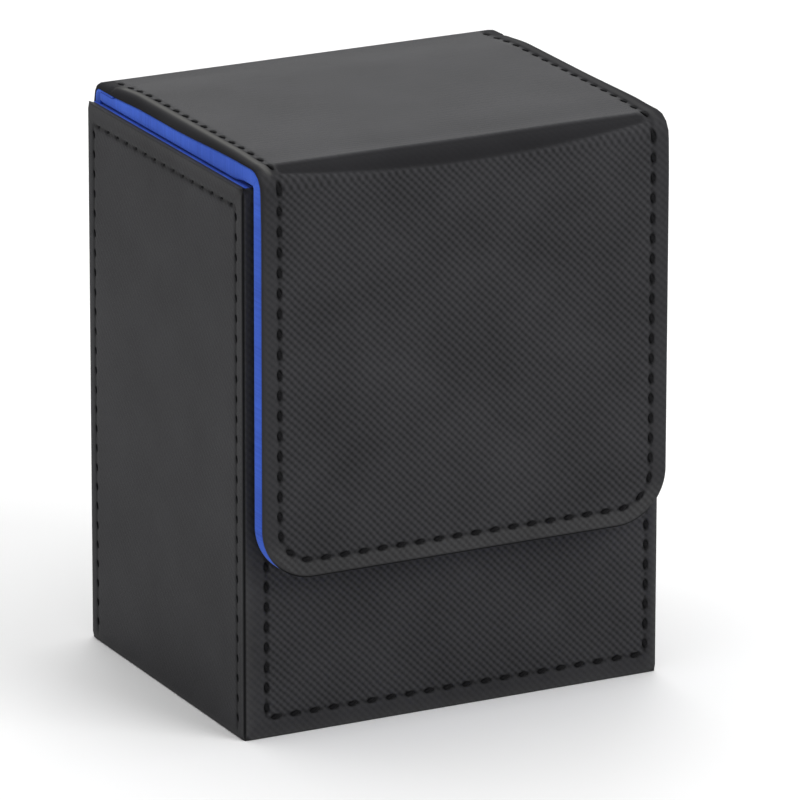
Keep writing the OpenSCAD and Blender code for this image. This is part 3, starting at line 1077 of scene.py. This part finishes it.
def notch_edge(u, v):
    return distance(np.column_stack((u, v)), open_line, closed=False)


front_suede = wall_suede("front_suede", front_corners, flat((0, -INNER_D, 0), (-1, 0, 0), (0, 0, 1)),
                         "front_lining", notch_edge)
rear_suede = wall_suede("rear_suede", rectangle(INNER_W, LINING_FOOT, WALL_H),
                        flat((0, INNER_D, 0), (1, 0, 0), (0, 0, 1)), "rear_lining", top_edge)
LIP_END = HALF_D - COVER_T
tee = [(-LIP_BACK, LINING_FOOT, 0), (LIP_BACK, LINING_FOOT, 0), (LIP_BACK, BOARD_TOP, 0),
       (LIP_END, BOARD_TOP, 0), (LIP_END, WALL_H, 0), (-LIP_END, WALL_H, 0),
       (-LIP_END, BOARD_TOP, 0), (-LIP_BACK, BOARD_TOP, 0)]  # wider above the boards
for side, sign in SIDES:
    wall_suede(side + "_suede", tee,
                                  flat((sign * INNER_W, 0, 0), (0, -sign, 0), (0, 0, 1)),
                                  side + "_lining", top_edge)

floor_end = INNER_D - BASE_GAP
floor_suede = panel("bottom_suede", rectangle(INNER_W - BASE_GAP, -floor_end, floor_end),
                    flat((0, 0, FLOOR_Z), (1, 0, 0), (0, 1, 0)),
                    lambda u, v, d: roll(d, BASE_ROLL) + waves(u, v, 0.03) * smooth(1, 8, d),
                    lambda u, v, d: np.full(len(u), -LINING_T), suede, roll_r=BASE_ROLL,
                    marks=without_wear_or_highlight)
ride(floor_suede, "box", "bottom_lining")


# ---- Suede behind the lid ----

def hinge_profile():
    """Cross-section of the suede from the rear wall's top edge to the lid, close under the leather."""
    gap = 0.03  # to the leather outside it
    corner_r = 0.3  # where it turns down behind the lid's suede
    outer = HINGE_R - HINGE_LEATHER_T - gap
    top = HINGE_TOP - HINGE_LEATHER_T - gap
    bottom = top - HINGE_SUEDE_T
    face = LID_SUEDE_REAR + 0.1
    end = CORE_REAR + 0.06
    low = WALL_H - 0.5
    back_y = HALF_D - COVER_T - gap
    up = [(back_y, z) for z in np.arange(low, HINGE_Z, 0.5)]
    ring = [(HINGE_Y + outer * math.cos(a), HINGE_Z + outer * math.sin(a))
            for a in np.radians(np.arange(0, 91, 9))]
    ring[0] = (back_y, HINGE_Z)
    ahead = [(y, top) for y in np.arange(HINGE_Y - 0.4, end, -0.4)] + [(end, top), (end, bottom)]
    back = [(y, bottom) for y in np.arange(end + 0.4, face - 0.2, 0.4)]
    turn = [(face - corner_r + corner_r * math.sin(a), bottom - corner_r + corner_r * math.cos(a))
            for a in np.radians((0, 30, 60, 90))]
    down = [(face, z) for z in np.arange(bottom - 0.8, low, -0.5)] + [(face, low)]
    return [*up, *ring, *ahead, *back, *turn, *down]


hinge_suede = bar("hinge_suede", hinge_profile(), LID_HALF_W, roll_r=0.18, material=suede,
                  uv_start=-20.0)
bend(hinge_suede, ("box", "lid"), HINGE_BEND, "suede_lining", "rear_hinge_lining")


# ---- Floor and lights ----

def make_stage():
    mesh = bpy.data.meshes.new("floor")
    size = 4.0
    corners = [(-size, -size, 0), (size, -size, 0), (size, size, 0), (-size, size, 0)]
    mesh.from_pydata(corners, [], [(0, 1, 2, 3)])
    material, tree, shader = new_material("floor")
    feed(tree, shader, {"Base Color": (0.9, 0.9, 0.9, 1), "Roughness": 0.9,
                        "Specular IOR Level": 0.0})
    mesh.materials.append(material)
    floor = bpy.data.objects.new("floor", mesh)
    bpy.context.scene.collection.objects.link(floor)


def area_light(name, place, aim, size, power):
    data = bpy.data.lights.new(name, "AREA")
    data.shape = "SQUARE"
    data.size = size
    data.energy = power
    light = bpy.data.objects.new(name, data)
    bpy.context.scene.collection.objects.link(light)
    light.location = place
    light.rotation_euler = (Vector(aim) - Vector(place)).to_track_quat("-Z", "Y").to_euler()


make_stage()
area_light("overhead", (0, 0.15, 1.1), (0, 0, 0), 1.4, 11)
area_light("front", (0.6, -1.0, 0.9), (0, 0, 0.05), 0.8, 9.5)
area_light("back", (0.5, 1.5, 0.95), (0, 0, 0.1), 1.4, 9)
world = bpy.data.worlds.new("studio")
world.use_nodes = True
world.node_tree.nodes["Background"].inputs[0].default_value = (1, 1, 1, 1)
world.node_tree.nodes["Background"].inputs[1].default_value = 0.36
bpy.context.scene.world = world
bpy.context.scene.view_settings.view_transform = "Standard"


# ---- The area that the notch cuts out of a wall's leather ----

def outline_area(loop):
    """Area of a closed outline."""
    ahead = np.roll(loop, -1, axis=0)
    return abs((loop[:, 0] * ahead[:, 1] - ahead[:, 0] * loop[:, 1]).sum()) / 2


NOTCH_AREA = 2 * WALL_EDGE * WALL_H - outline_area(fillet_loop(notched(WALL_EDGE, 0)))
